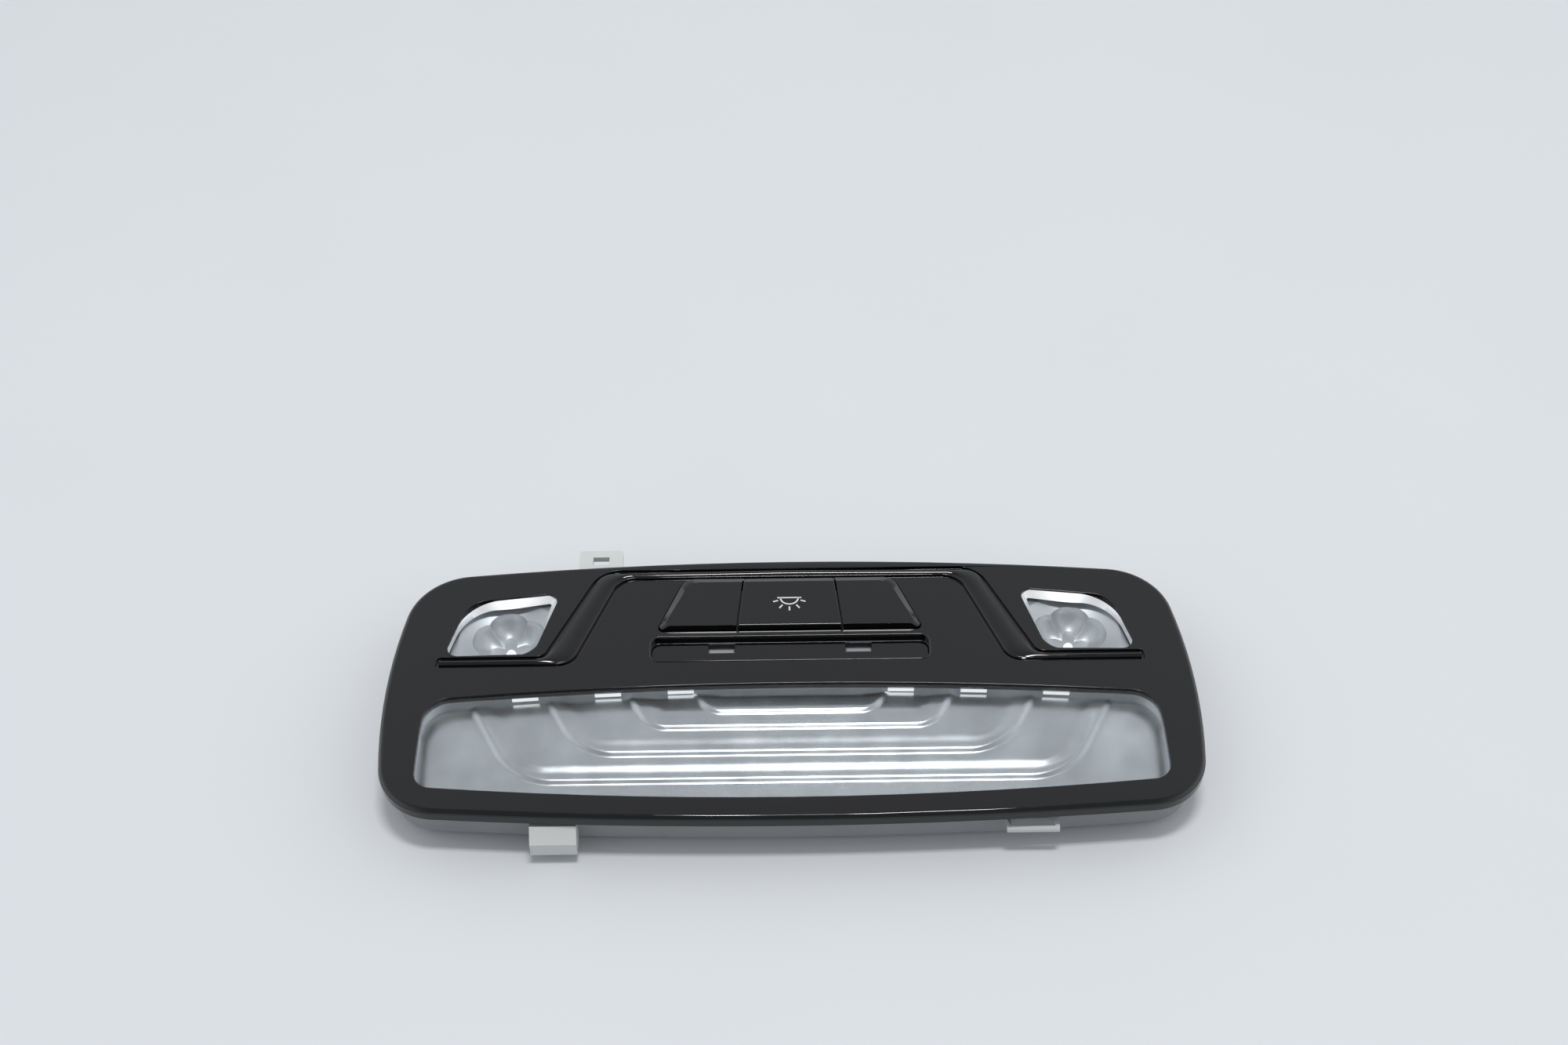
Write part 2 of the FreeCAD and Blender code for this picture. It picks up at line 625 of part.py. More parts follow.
def split_strip(name, inset):
    """Plan of one button between the two slanted splits, as a tall prism."""
    far = BEZEL_WIDTH / 2
    front, rear = OPENING_FRONT[1] - OVERLAP, OPENING_REAR[1] + OVERLAP
    inner_front = SPLIT_FRONT_X + inset
    inner_rear = SPLIT_REAR_X + inset
    if name == "centre":
        points = [(-SPLIT_FRONT_X + inset, front), (SPLIT_FRONT_X - inset, front),
                  (SPLIT_REAR_X - inset, rear), (-SPLIT_REAR_X + inset, rear)]
    else:
        points = on_side([(inner_front, front), (far, front), (far, rear), (inner_rear, rear)],
                         -1 if name == "left" else 1)
    outline = [Vector(x, y, 0) for x, y in points]
    return prism(Part.makePolygon(outline + outline[:1]), 0, BUTTON_TOP + OVERLAP)


def stem_place(name):
    """X of a button's stem."""
    return {"left": -SIDE_STEM_X, "centre": 0.0, "right": SIDE_STEM_X}[name]


def make_button(name):
    """Hollow cap with bevelled edges and a stem that reaches down to its switch."""
    bevel_z = BUTTON_TOP - BUTTON_BEVEL_DROP
    bevels = (BUTTON_BEVEL_REAR, BUTTON_BEVEL_SIDE, BUTTON_BEVEL_FRONT)
    low_points, low_rounds = opening_points(BUTTON_GAP)
    high_points, high_rounds = opening_points(BUTTON_GAP, bevels)
    row = prism(rounded_wire(low_points, low_rounds), BUTTON_BOTTOM, bevel_z)
    crown = Part.makeLoft([rounded_wire(low_points, low_rounds, bevel_z),
                           rounded_wire(high_points, high_rounds, BUTTON_TOP)], True, True)
    half_gap = BUTTON_GAP / 2
    cap = row.fuse(crown).common(split_strip(name, half_gap))
    hollow_points, hollow_rounds = opening_points(BUTTON_GAP + BUTTON_WALL)
    roof = bevel_z - BUTTON_WALL
    hollow_rounds = [max(radius, half_gap) for radius in hollow_rounds]
    hollow = prism(rounded_wire(hollow_points, hollow_rounds), BUTTON_BOTTOM, roof)
    cap = cap.cut(hollow.common(split_strip(name, half_gap + BUTTON_WALL)))
    stem = rod(stem_place(name), STEM_Y, PLUNGER_TOP, roof + OVERLAP, STEM_RADIUS)
    return cap.fuse(stem).removeSplitter()


def make_switch_body(name):
    """Square tactile switch with a well for its plunger."""
    x = stem_place(name)
    half = SWITCH_SIZE / 2
    body = box(x - half, x + half, STEM_Y - half, STEM_Y + half, BOARD_TOP, SWITCH_TOP)
    well_floor = SWITCH_TOP - PLUNGER_SINK - BUTTON_TRAVEL - STOP_GAP
    return body.cut(rod(x, STEM_Y, well_floor, SWITCH_TOP, PLUNGER_RADIUS + PLUNGER_GAP))


def make_switch_plunger(name):
    """Round plunger between the switch and the button's stem."""
    return rod(stem_place(name), STEM_Y, SWITCH_TOP - PLUNGER_SINK, PLUNGER_TOP, PLUNGER_RADIUS)


def make_circuit_board():
    """Board with clearance holes around the rear screw posts."""
    right = [(BOARD_SIDE_REAR[0], BOARD_FRONT), BOARD_SIDE_REAR, BOARD_MID_REAR]
    wire = rounded_wire(right + on_side(reversed(right), -1), [BOARD_CORNER] * 6)
    board = prism(wire, BOARD_BOTTOM, BOARD_TOP)
    return board.cut([rod(x, y, BOARD_BOTTOM, BOARD_TOP, POST_RADIUS + HOLE_GAP) for x, y in screw_places()])


def make_button_carrier():
    """Frame that guides the button stems, on four legs, with a tongue up into each slot."""
    bottom = CARRIER_TOP - CARRIER_WALL
    right = [(CARRIER_HALF_WIDTH, CARRIER_FRONT), (CARRIER_HALF_WIDTH, CARRIER_REAR)]
    outline = rounded_wire(right + on_side(reversed(right), -1), [CARRIER_ROUND] * 4)
    plate = prism(outline, bottom, CARRIER_TOP)
    extras = []
    for _, side in SIDES:
        outer = side * (CARRIER_HALF_WIDTH - CARRIER_LEG / 2)
        for y in (CARRIER_FRONT + CARRIER_ROUND, CARRIER_REAR - CARRIER_ROUND):
            extras.append(box(outer - CARRIER_LEG / 2, outer + CARRIER_LEG / 2, y - CARRIER_LEG / 2,
                              y + CARRIER_LEG / 2, BOARD_TOP, bottom + CARRIER_WALL))
        half = SLOT_WIDTH / 2 - TONGUE_GAP
        extras.append(box(side * SLOT_X - half, side * SLOT_X + half, SLOT_FRONT + TONGUE_GAP,
                          SLOT_FRONT + TONGUE_GAP + TONGUE_WALL, bottom, POCKET_Z - TONGUE_GAP))
    holes = [rod(stem_place(name), STEM_Y, bottom, CARRIER_TOP, STEM_RADIUS + STEM_GAP)
             for name in ("left", "centre", "right")]
    return plate.fuse(extras).cut(holes).removeSplitter()


def make_connector_header():
    """Socket body, open to the rear, with holes for its pins."""
    rear = header_rear()
    half = HEADER_WIDTH / 2
    top = BOARD_TOP + HEADER_HEIGHT
    body = box(CONNECTOR_X - half, CONNECTOR_X + half, rear - HEADER_LENGTH, rear, BOARD_TOP, top)
    space = box(CONNECTOR_X - half + HEADER_WALL, CONNECTOR_X + half - HEADER_WALL,
                rear - HEADER_LENGTH + HEADER_BACK_WALL, rear, BOARD_TOP + HEADER_WALL, top - HEADER_WALL)
    return body.cut([space] + [pin_solid(index) for index in range(PIN_COUNT)])


def pin_solid(index):
    """Bent pin: level in the socket, then down to the board behind it."""
    x = CONNECTOR_X + (index - (PIN_COUNT - 1) / 2) * PIN_PITCH
    half = PIN_SIZE / 2
    z = BOARD_TOP + HEADER_HEIGHT / 2
    back = header_rear() - HEADER_LENGTH
    tail = back - PIN_TAIL_SET
    level = box(x - half, x + half, tail - half, back + HEADER_BACK_WALL + PIN_LENGTH, z - half, z + half)
    return level.fuse(box(x - half, x + half, tail - half, tail + half, BOARD_TOP, z + half)).removeSplitter()


def make_connector_pins():
    """Row of bent pins."""
    return Part.makeCompound([pin_solid(index) for index in range(PIN_COUNT)])


def make_housing_screws():
    """Four screws with round heads and hexagon sockets."""
    screws = []
    for x, y in screw_places():
        head = rod(x, y, SCREW_HEAD_SINK, SCREW_SEAT, SCREW_HEAD_RADIUS)
        shank = rod(x, y, SCREW_SEAT - OVERLAP, SCREW_SEAT + SCREW_LENGTH, SCREW_RADIUS)
        turns = [math.radians(60 * step) for step in range(6)]
        radius = SCREW_SOCKET_RADIUS
        hexagon = [Vector(x + radius * math.cos(turn), y + radius * math.sin(turn), 0) for turn in turns]
        socket = prism(Part.makePolygon(hexagon + hexagon[:1]), SCREW_HEAD_SINK,
                       SCREW_HEAD_SINK + SCREW_SOCKET_DEPTH)
        screws.append(head.fuse(shank).cut(socket).removeSplitter())
    return Part.makeCompound(screws)


def main():
    """Makes every piece and writes one file for each."""
    pieces = {
        "bezel": make_bezel(),
        "housing": make_housing(),
        "main_lens": make_main_lens(),
        "main_reflector": make_main_reflector(),
        "led_strip": make_led_strip(),
        "main_leds": make_main_leds(),
        "circuit_board": make_circuit_board(),
        "button_carrier": make_button_carrier(),
        "connector_header": make_connector_header(),
        "connector_pins": make_connector_pins(),
        "housing_screws": make_housing_screws(),
    }
    for name, side in SIDES:
        pieces["reading_lens_" + name] = make_reading_lens(side)
        pieces["reading_reflector_" + name] = make_reading_reflector(side)
        pieces["reading_led_" + name] = make_reading_led(side)
    for name in ("left", "centre", "right"):
        pieces["button_" + name] = make_button(name)
        pieces["switch_body_" + name] = make_switch_body(name)
        pieces["switch_plunger_" + name] = make_switch_plunger(name)
    os.makedirs("parts", exist_ok=True)
    for name, shape in pieces.items():
        print(name, len(shape.Solids), shape.isValid(), round(shape.Volume, 1))
        shape.exportStep("parts/" + name + ".step")


main()
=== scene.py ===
"""Car interior light: a gloss bezel with a wide lens, reading lamps and push buttons, lying on its back."""
import math

import bmesh
import bpy
import numpy as np
from mathutils import Matrix


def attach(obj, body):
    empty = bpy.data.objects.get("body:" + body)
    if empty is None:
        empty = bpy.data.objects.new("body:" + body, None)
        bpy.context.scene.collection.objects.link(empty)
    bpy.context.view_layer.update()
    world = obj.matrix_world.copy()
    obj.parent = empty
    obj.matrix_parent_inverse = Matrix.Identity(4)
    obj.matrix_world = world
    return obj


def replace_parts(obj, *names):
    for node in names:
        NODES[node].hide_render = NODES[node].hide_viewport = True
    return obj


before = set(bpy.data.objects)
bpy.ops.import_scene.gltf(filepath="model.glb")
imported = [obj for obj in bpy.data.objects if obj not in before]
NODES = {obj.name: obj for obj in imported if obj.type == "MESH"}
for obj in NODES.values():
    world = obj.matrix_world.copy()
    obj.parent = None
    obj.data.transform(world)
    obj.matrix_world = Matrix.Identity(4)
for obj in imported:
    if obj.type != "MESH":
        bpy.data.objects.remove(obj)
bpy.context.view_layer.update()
MM = 0.001

# Heights in millimetres, as in the part's source
FACE_Z = 15.5
BUTTON_TOP = 17.1
COVER_TOP = 13.52
REFLECTOR_TOP = 12.3
MAIN_FLOOR = 6.8
MAIN_UNDER = 4.62
BOWL_UNDER = 4.82


# Shared helpers

def linear(text):
    """Linear colour of an sRGB hex value."""
    steps = np.array([int(text[i:i + 2], 16) for i in (1, 3, 5)]) / 255
    values = np.where(steps <= 0.04045, steps / 12.92, ((steps + 0.055) / 1.055) ** 2.4)
    return (*values.tolist(), 1.0)


def node(tree, kind, feeds=None, stops=(), **settings):
    """Adds one shader node. Feeds give a socket a number, a node's output, or a node whose first output
    is meant; settings name attributes or sockets, and stops are a ramp's places with greys or colours."""
    made = tree.nodes.new("ShaderNode" + kind)
    for name, value in settings.items():
        if hasattr(made, name):
            setattr(made, name, value)
        else:
            made.inputs[name.replace("_", " ")].default_value = value
    for step, (place, value) in zip(made.color_ramp.elements if stops else (), stops):
        step.position = place
        step.color = value if isinstance(value, tuple) else (value, value, value, 1)
    for name, source in (feeds or {}).items():
        if isinstance(source, (int, float)):
            made.inputs[name].default_value = source
        else:
            tree.links.new(getattr(source, "outputs", [source])[0], made.inputs[name])
    return made


def new_material(name):
    """Empty node material, its tree and its Object coordinates."""
    made = bpy.data.materials.new(name)
    made.use_nodes = True
    tree = made.node_tree
    tree.nodes.clear()
    return made, tree, node(tree, "TexCoord").outputs["Object"]


def dress(target, material):
    """Gives the object this one material."""
    target.data.materials.clear()
    target.data.materials.append(material)


def put_piece(name, mesh, body, material):
    """New piece of this mesh, dressed in the given material, which rides on the body."""
    piece = bpy.data.objects.new(name, mesh)
    bpy.context.scene.collection.objects.link(piece)
    dress(piece, material)
    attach(piece, body)
    return piece


def put_rings(name, points, faces, body, material):
    """Closed piece from rings of points in millimetres: points that meet are joined, its faces are turned
    outwards and its creases over 40 degrees stay sharp."""
    mesh = bpy.data.meshes.new(name)
    mesh.from_pydata((points.reshape(-1, 3) * MM).tolist(), [], faces)
    mesh.validate()
    mesh.polygons.foreach_set("use_smooth", np.ones(len(mesh.polygons), bool))
    work = bmesh.new()
    work.from_mesh(mesh)
    bmesh.ops.remove_doubles(work, verts=work.verts, dist=1e-6)
    bmesh.ops.recalc_face_normals(work, faces=work.faces)
    work.to_mesh(mesh)
    work.free()
    mesh.set_sharp_from_angle(angle=math.radians(40))
    return put_piece(name, mesh, body, material)


def merged_copy(source, body, material, round_mm):
    """Copy of a CAD node with its loose triangles joined, its flat faces dissolved and its edges over
    32 degrees rounded."""
    crease = math.radians(32)
    mesh = NODES[source].data.copy()
    work = bmesh.new()
    work.from_mesh(mesh)
    bmesh.ops.remove_doubles(work, verts=work.verts, dist=2e-6)
    bmesh.ops.dissolve_limit(work, angle_limit=math.radians(0.4), verts=work.verts, edges=work.edges,
                             delimit={"NORMAL"})
    work.to_mesh(mesh)
    work.free()
    mesh.polygons.foreach_set("use_smooth", np.ones(len(mesh.polygons), bool))
    mesh.set_sharp_from_angle(angle=crease)
    piece = put_piece(source + "_smooth", mesh, body, material)
    bevel = piece.modifiers.new("edge", "BEVEL")
    bevel.width = round_mm * MM
    bevel.segments = 3
    bevel.limit_method = "ANGLE"
    bevel.angle_limit = crease
    bevel.use_clamp_overlap = True
    bevel.harden_normals = True
    piece.modifiers.new("normals", "WEIGHTED_NORMAL").keep_sharp = True
    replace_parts(piece, source)
    return piece


def grid_faces(rows, columns, joined=False):
    """Quads of a grid of points whose columns join up, as its rows do too where joined."""
    i, j = np.meshgrid(np.arange(rows if joined else rows - 1), np.arange(columns), indexing="ij")
    k = (j + 1) % columns
    low, high = i * columns, (i + 1) % rows * columns
    return np.stack([low + j, low + k, high + k, high + j], -1).reshape(-1, 4).tolist()


def end_faces(rows, columns):
    """Faces that close the first and the last row of a grid."""
    return [list(range(columns))[::-1], [(rows - 1) * columns + k for k in range(columns)]]


def ring(hub, around, reach, height):
    """Ring of points at a reach from the hub in the directions around it, all at one height."""
    return np.column_stack([hub + around * reach[:, None], np.full_like(reach, height)])


def along(line):
    """Length of a line up to each of its points."""
    return np.concatenate([[0], np.cumsum(np.linalg.norm(np.diff(line, axis=0), axis=1))])


def step_up(value):
    """Smooth step from 0 to 1 as the value goes from 0 to 1."""
    part = np.clip(value, 0, 1)
    return part * part * (3 - 2 * part)


# Outlines in plan, in millimetres

WINDOW_MIDDLE = -19.0
BOWL_HUB = np.array([77.0, 19.15])
APERTURE = np.array([(63.3, 32.65), (69.5, 10.75), (93.7, 10.25), (88.7, 29.55)])


def rounded_sides(distances, radius):
    """Distance to a shape given the distances to its sides: the root of the summed squares of what passes
    the sides drawn in by the radius, less the radius, so that the corners are round."""
    spill = [np.maximum(distance + radius, 0) for distance in distances]
    inner = np.maximum.reduce([distance + radius for distance in distances])
    return np.where(inner > 0, np.sqrt(sum(part ** 2 for part in spill)), inner) - radius


def window_distance(x, y):
    """Distance outside the lens window, whose four sides are shallow bows."""
    rear = y + 0.45 + x ** 2 / 2200
    front = -37.65 + x ** 2 / 2000 - y
    side = np.abs(x) - 97.3 + (y + 18.5) ** 2 / 600
    return rounded_sides([rear, front, side], 6.5)


def aperture_distance(x, y):
    """Distance outside the right reading lamp's aperture, a four-sided figure whose corners have their
    own rounds."""
    corner = np.where(y > 20, np.where(x < 76, 2.6, 8.0), np.where(x < 81, 4.5, 3.0))
    start, end = APERTURE, np.roll(APERTURE, -1, axis=0)
    run = (end - start) / np.linalg.norm(end - start, axis=1)[:, None]
    return rounded_sides([(x - p[0]) * r[1] - (y - p[1]) * r[0] for p, r in zip(start, run)], corner)


def reach_to(distance, hub, turns, margin):
    """Radius from the hub, at each turn, at which the distance outside equals the margin, by halving."""
    low, high = np.zeros_like(turns), np.full_like(turns, 130.0)
    for _ in range(40):
        middle = (low + high) / 2
        outside = distance(hub[0] + middle * np.cos(turns), hub[1] + middle * np.sin(turns)) > margin
        low, high = np.where(outside, low, middle), np.where(outside, middle, high)
    return (low + high) / 2


def reading_plan(side, turns):
    """Hub of a reading lamp and the directions around it, mirrored for the left one."""
    mirror = np.array([-1 if side == "left" else 1, 1])
    return mirror * BOWL_HUB, mirror * np.stack([np.cos(turns), np.sin(turns)], -1)


# Shaped pieces

# Each terrace's front edge, half its width there and the round of its corners; its sides flare to the rear
TERRACES = ((-27.2, 73.5, 10.0), (-19.5, 56.6, 9.0), (-12.0, 38.4, 5.0), (-7.4, 22.7, 4.0))
TERRACE_FLARE = 0.54


def terrace_height(x, y):
    """Floor that climbs 3 mm to the rear as a power of the way there, and for each nested terrace a riser
    2 mm wide of about 25 degrees and a soft swell 3.3 mm wide; towards the rear the swell fades, and most
    of the riser's height is given back over the next 7 mm."""
    climb = np.clip((y + 28) / 26.5, 0, 1) ** 1.35
    height = MAIN_FLOOR + 3.0 * climb
    for front, half, corner in TERRACES:
        side = (np.abs(x) - half - TERRACE_FLARE * (y - front)) / math.hypot(1, TERRACE_FLARE)
        inside = -rounded_sides([front - y, side], corner)
        riser = step_up(inside / 2.0) - 0.75 * climb * step_up((inside - 2.0) / 7)
        swell = (1 - 0.8 * climb) * step_up((inside - 3.0) / 3.3)
        height = height + 0.62 * riser + 0.5 * swell
    return height


def make_terraces(material):
    """Main reflector: rings that spread evenly from a line along the window's middle to its outline carry
    the terraces; the last rings go up the wall, over its rim, down its outside and back under the floor."""
    half = 72.0
    run, fan = np.linspace(-half, half, 441), np.linspace(-np.pi / 2, np.pi / 2, 150)[1:-1]
    hub_x = np.concatenate([run, np.full_like(fan, half), run[::-1], np.full_like(fan, -half)])
    ahead = np.full_like(run, np.pi / 2)
    turns = np.concatenate([-ahead, fan, ahead, fan + np.pi])
    hub = np.stack([hub_x, np.full_like(hub_x, WINDOW_MIDDLE)], -1)
    inner = reach_to(window_distance, hub.T, turns, 0.8)
    outer = reach_to(window_distance, hub.T, turns, 1.75)
    around = np.stack([np.cos(turns), np.sin(turns)], -1)
    plan = hub + around * (np.linspace(0, 1, 74)[:, None] * inner)[..., None]
    height = np.minimum(terrace_height(plan[..., 0], plan[..., 1]), REFLECTOR_TOP - 0.4)
    top = np.concatenate([plan, height[..., None]], -1)
    rim = [(inner + 0.02, REFLECTOR_TOP - 0.1), (inner + 0.15, REFLECTOR_TOP), (outer, REFLECTOR_TOP),
           (outer, MAIN_UNDER), (inner * 0.5, MAIN_UNDER), (inner * 0, MAIN_UNDER)]
    points = np.concatenate([top, np.stack([ring(hub, around, far, high) for far, high in rim])])
    faces = grid_faces(*points.shape[:2])
    piece = put_rings("main_reflector_terraces", points, faces, "lamp", material)
    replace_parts(piece, "main_reflector")


def make_bowl(side, material):
    """Reading reflector: along each radius a hollow with five petals, whose depth and brim follow the
    absolute sine of two and a half turns so that ridges stand between them, then a shallow cone, the wall
    and the outside, round a small hole for the lamp."""
    hole, floor, cone_slope = 1.3, 5.65, 0.36
    turns = np.linspace(0, 2 * np.pi, 360, endpoint=False)
    inner = reach_to(aperture_distance, BOWL_HUB, turns, 0.6)
    outer = reach_to(aperture_distance, BOWL_HUB, turns, 1.55)
    radius = hole + np.linspace(0, 1, 110)[:, None] * (inner - hole)
    petal = np.abs(np.sin(2.5 * (turns - math.radians(47.7))))
    brim = 10.0 - 1.3 * (1 - petal) ** 1.5
    part = np.clip((radius - 2.6) / (brim - 2.6), 0, 1)
    depth = 5.15 + cone_slope * (brim - 9.6)
    hollow = floor + depth * (1 - np.sqrt(np.clip(1 - part ** 2, 0, 1))) ** 0.8
    hollow = hollow - 1.2 * petal * np.sin(np.pi * part) ** 0.8 + 0.35 * np.sin(np.pi * part)
    cone = floor + 5.15 + cone_slope * (radius - 9.6)
    height = np.where(radius < brim, np.maximum(hollow, floor - 0.01), cone)
    height = np.minimum(height, REFLECTOR_TOP - 0.05)
    hub, around = reading_plan(side, turns)
    top = np.concatenate([hub + around * radius[..., None], height[..., None]], -1)
    rim = [(inner + 0.05, REFLECTOR_TOP - 0.02), (outer, REFLECTOR_TOP), (outer, BOWL_UNDER),
           (np.full_like(turns, hole), BOWL_UNDER)]
    points = np.concatenate([top, np.stack([ring(hub, around, far, high) for far, high in rim])])
    faces = grid_faces(*points.shape[:2], joined=True)
    name = "reading_reflector_" + side
    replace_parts(put_rings(name + "_petals", points, faces, "lamp", material), name)


def make_collar(side, material):
    """Bright collar in a reading aperture: a wedge carried round the aperture's outline, from the cover up
    to just under the face, 0.3 mm wide in front and wider to the rear by 2 mm times the turn's sine."""
    turns = np.linspace(0, 2 * np.pi, 360, endpoint=False)
    wider = 2.0 * np.clip(np.sin(turns), 0, 1)
    outer = reach_to(aperture_distance, BOWL_HUB, turns, -0.04)
    inner = reach_to(aperture_distance, BOWL_HUB, turns, -0.34 - wider)
    hub, around = reading_plan(side, turns)
    wedge = [(inner, COVER_TOP), (inner, COVER_TOP + 0.1), (outer, FACE_Z - 0.5), (outer, COVER_TOP)]
    points = np.stack([ring(hub, around, far, high) for far, high in wedge])
    faces = grid_faces(*points.shape[:2], joined=True)
    put_rings("reading_collar_" + side, points, faces, "lamp", material)


def smooth_line(corners, spacing, blur):
    """Points along straight runs between the corners, each corner rounded by a running mean of blur
    length."""
    corners = np.asarray(corners, float)
    length = along(corners)
    place = np.arange(0, length[-1] + spacing / 2, spacing)
    line = np.stack([np.interp(place, length, corners[:, k]) for k in (0, 1)], -1)
    width = int(blur / spacing) | 1
    pad = width // 2
    before = 2 * line[0] - line[1:pad + 1][::-1]
    after = 2 * line[-1] - line[-pad - 1:-1][::-1]
    full = np.concatenate([before, line, after])
    kernel = np.ones(width) / width
    return np.stack([np.convolve(full[:, k], kernel, "valid") for k in (0, 1)], -1)


def make_band(material):
    """Relief band: a crowned strip between two lines, whose height over the face is a parabola across its
    width, from the right end over the rear strip to the left end."""
    inset, bow, crown = 0.95, 0.55, 0.55
    rear = np.array([(94.6, 9.75), (66.3, 9.75), (52.1, 40.9), (0, 40.9 + bow)]) - (0, inset)
    front = np.array([(94.6, 6.2), (59.1, 6.2), (47.3, 36.9), (0, 36.9 + bow)]) + (0, inset)
    sides = []
    for line in (rear, front):
        path = smooth_line(np.concatenate([line, (line[:-1] * (-1, 1))[::-1]]), 0.25, 7.0)
        mark = along(path)
        place = np.linspace(0, 1, 500) * mark[-1]
        sides.append(np.stack([np.interp(place, mark, path[:, k]) for k in (0, 1)], -1)[:, None])
    across = np.linspace(0, 1, 13)
    plan = sides[0] * (1 - across[:, None]) + sides[1] * across[:, None]
    height = FACE_Z - 0.2 + crown * (1 - (2 * across - 1) ** 2)
    top = np.concatenate([plan, np.broadcast_to(height[:, None], (*plan.shape[:2], 1))], -1)
    low = top[:, ::-1].copy()
    low[..., 2] = FACE_Z - 0.85
    points = np.concatenate([top, low], 1)
    faces = grid_faces(*points.shape[:2]) + end_faces(*points.shape[:2])
    put_rings("relief_band", points, faces, "lamp", material)


def make_pocket_lip(material):
    """Lip of the strip pocket: an oval bead 0.3 mm by 0.24 mm in radius carried along a rounded
    rectangle."""
    corner, half, rear, front = 2.5, 37.8, 16.2, 7.5
    x, rear, front = half - corner, rear - corner, front + corner
    turn = np.linspace(0, np.pi / 2, 12)
    way = np.concatenate([turn + k * np.pi / 2 for k in range(4)])
    hub = np.repeat(np.array([(x, rear), (-x, rear), (-x, front), (x, front)]), len(turn), axis=0)
    out = np.stack([np.cos(way), np.sin(way)], -1)
    around = np.linspace(0, 2 * np.pi, 12, endpoint=False)
    plan = (hub + corner * out)[:, None] + out[:, None] * (0.3 * np.cos(around))[:, None]
    height = np.broadcast_to(FACE_Z - 0.02 + 0.24 * np.sin(around), plan.shape[:2])
    points = np.concatenate([plan, height[..., None]], -1)
    faces = grid_faces(*points.shape[:2], joined=True)
    put_rings("pocket_lip", points, faces, "lamp", material)


def stroke(line, width, low, high):
    """Closed flat ribbon along a line: both edges of the line offset by half the width, at two heights."""
    ahead = np.gradient(line, axis=0)
    ahead /= np.linalg.norm(ahead, axis=1)[:, None]
    across = np.stack([-ahead[:, 1], ahead[:, 0]], -1) * width / 2
    corners = [(across, high), (-across, high), (-across, low), (across, low)]
    return np.stack([np.column_stack([line + shift, np.full(len(line), height)])
                     for shift, height in corners], 1)


def make_symbol(material):
    """Lamp sign on the middle button: a bar, a half round shade under it and five rays, printed so that
    they stand 0.03 mm proud."""
    middle, width, proud = 28.5, 0.42, 0.03
    turn = np.linspace(np.pi, 2 * np.pi, 33)
    lines = [np.array([(-3.3, middle), (3.3, middle)]),
             np.stack([2.45 * np.cos(turn), middle + 2.35 * np.sin(turn)], -1)]
    for angle in np.radians([198, 234, 270, 306, 342]):
        way = np.array([np.cos(angle), np.sin(angle)])
        lines.append(np.array([0, middle]) + np.array([[3.25], [4.7]]) * way)
    points, faces, start = [], [], 0
    for line in lines:
        ribbon = stroke(line, width, BUTTON_TOP - proud, BUTTON_TOP + proud)
        sides = grid_faces(*ribbon.shape[:2]) + end_faces(*ribbon.shape[:2])
        points.append(ribbon.reshape(-1, 3))
        faces += [[start + k for k in side] for side in sides]
        start += len(points[-1])
    put_rings("lamp_sign", np.concatenate(points), faces, "centre_button", material)


def mark_pale_over_painted_shade(piece):
    """Marks the housing's faces outside the tub, its clip, catch and tab, with the face attribute pale; the
    faces left unmarked, the tub behind the rim, get a painted shade.
    """
    mesh = piece.data
    middle = np.empty(len(mesh.polygons) * 3, np.float32)
    mesh.polygons.foreach_get("center", middle)
    x, y, _ = middle.reshape(-1, 3).T / MM
    front = (y < -41.2) & (np.abs(np.abs(x) - 61) < 7)
    rear = (y > 40.2) & (np.abs(x + 53.4) < 6.4)
    # Faces marked 0 take the painted shade of the tub; faces marked 1 keep the housing's own pale grey
    pale = (front | rear).astype(np.float32)
    mesh.attributes.new("pale", "FLOAT", "FACE").data.foreach_set("value", pale)


# Materials

def gloss_black(name, grain):
    """Piano black PC/ABS, moulded in a polished tool: a deep mirror-like surface whose faint waviness and
    hairline wiping marks soften the reflections, with a little settled dust."""
    made, tree, place = new_material(name)
    # Moulding waviness about 6 mm across; hairlines about 0.12 mm apart, drawn at 0.25 mm, and dust of
    # about 0.1 mm, drawn at 0.7 mm, so that they show
    wave = node(tree, "TexNoise", {"Vector": place}, Scale=1 / (6 * MM), Detail=2.0)
    turned = node(tree, "Mapping", {"Vector": place}, Rotation=(0, 0, 0.5), Scale=(0.06, 1, 1))
    hair = node(tree, "TexNoise", {"Vector": turned}, Scale=1 / (0.25 * MM), Detail=3.0)
    dust = node(tree, "TexNoise", {"Vector": place}, Scale=1 / (0.7 * MM), Detail=4.0)
    speck = node(tree, "ValToRGB", {"Fac": dust}, [(0.70, 0.0), (0.76, 1.0)])
    colour = node(tree, "MixRGB", {"Fac": speck}, Color1=linear("#0a0a0c"), Color2=linear("#1b1c1f"))
    rough = node(tree, "ValToRGB", {"Fac": hair}, [(0.35, 0.045 + grain), (0.75, 0.12 + grain)])
    bump = node(tree, "Bump", {"Height": wave}, Strength=0.05, Distance=0.02 * MM)
    finish = node(tree, "BsdfPrincipled", {"Base Color": colour, "Roughness": rough, "Normal": bump},
                  IOR=1.5)
    node(tree, "OutputMaterial", {"Surface": finish})
    return made


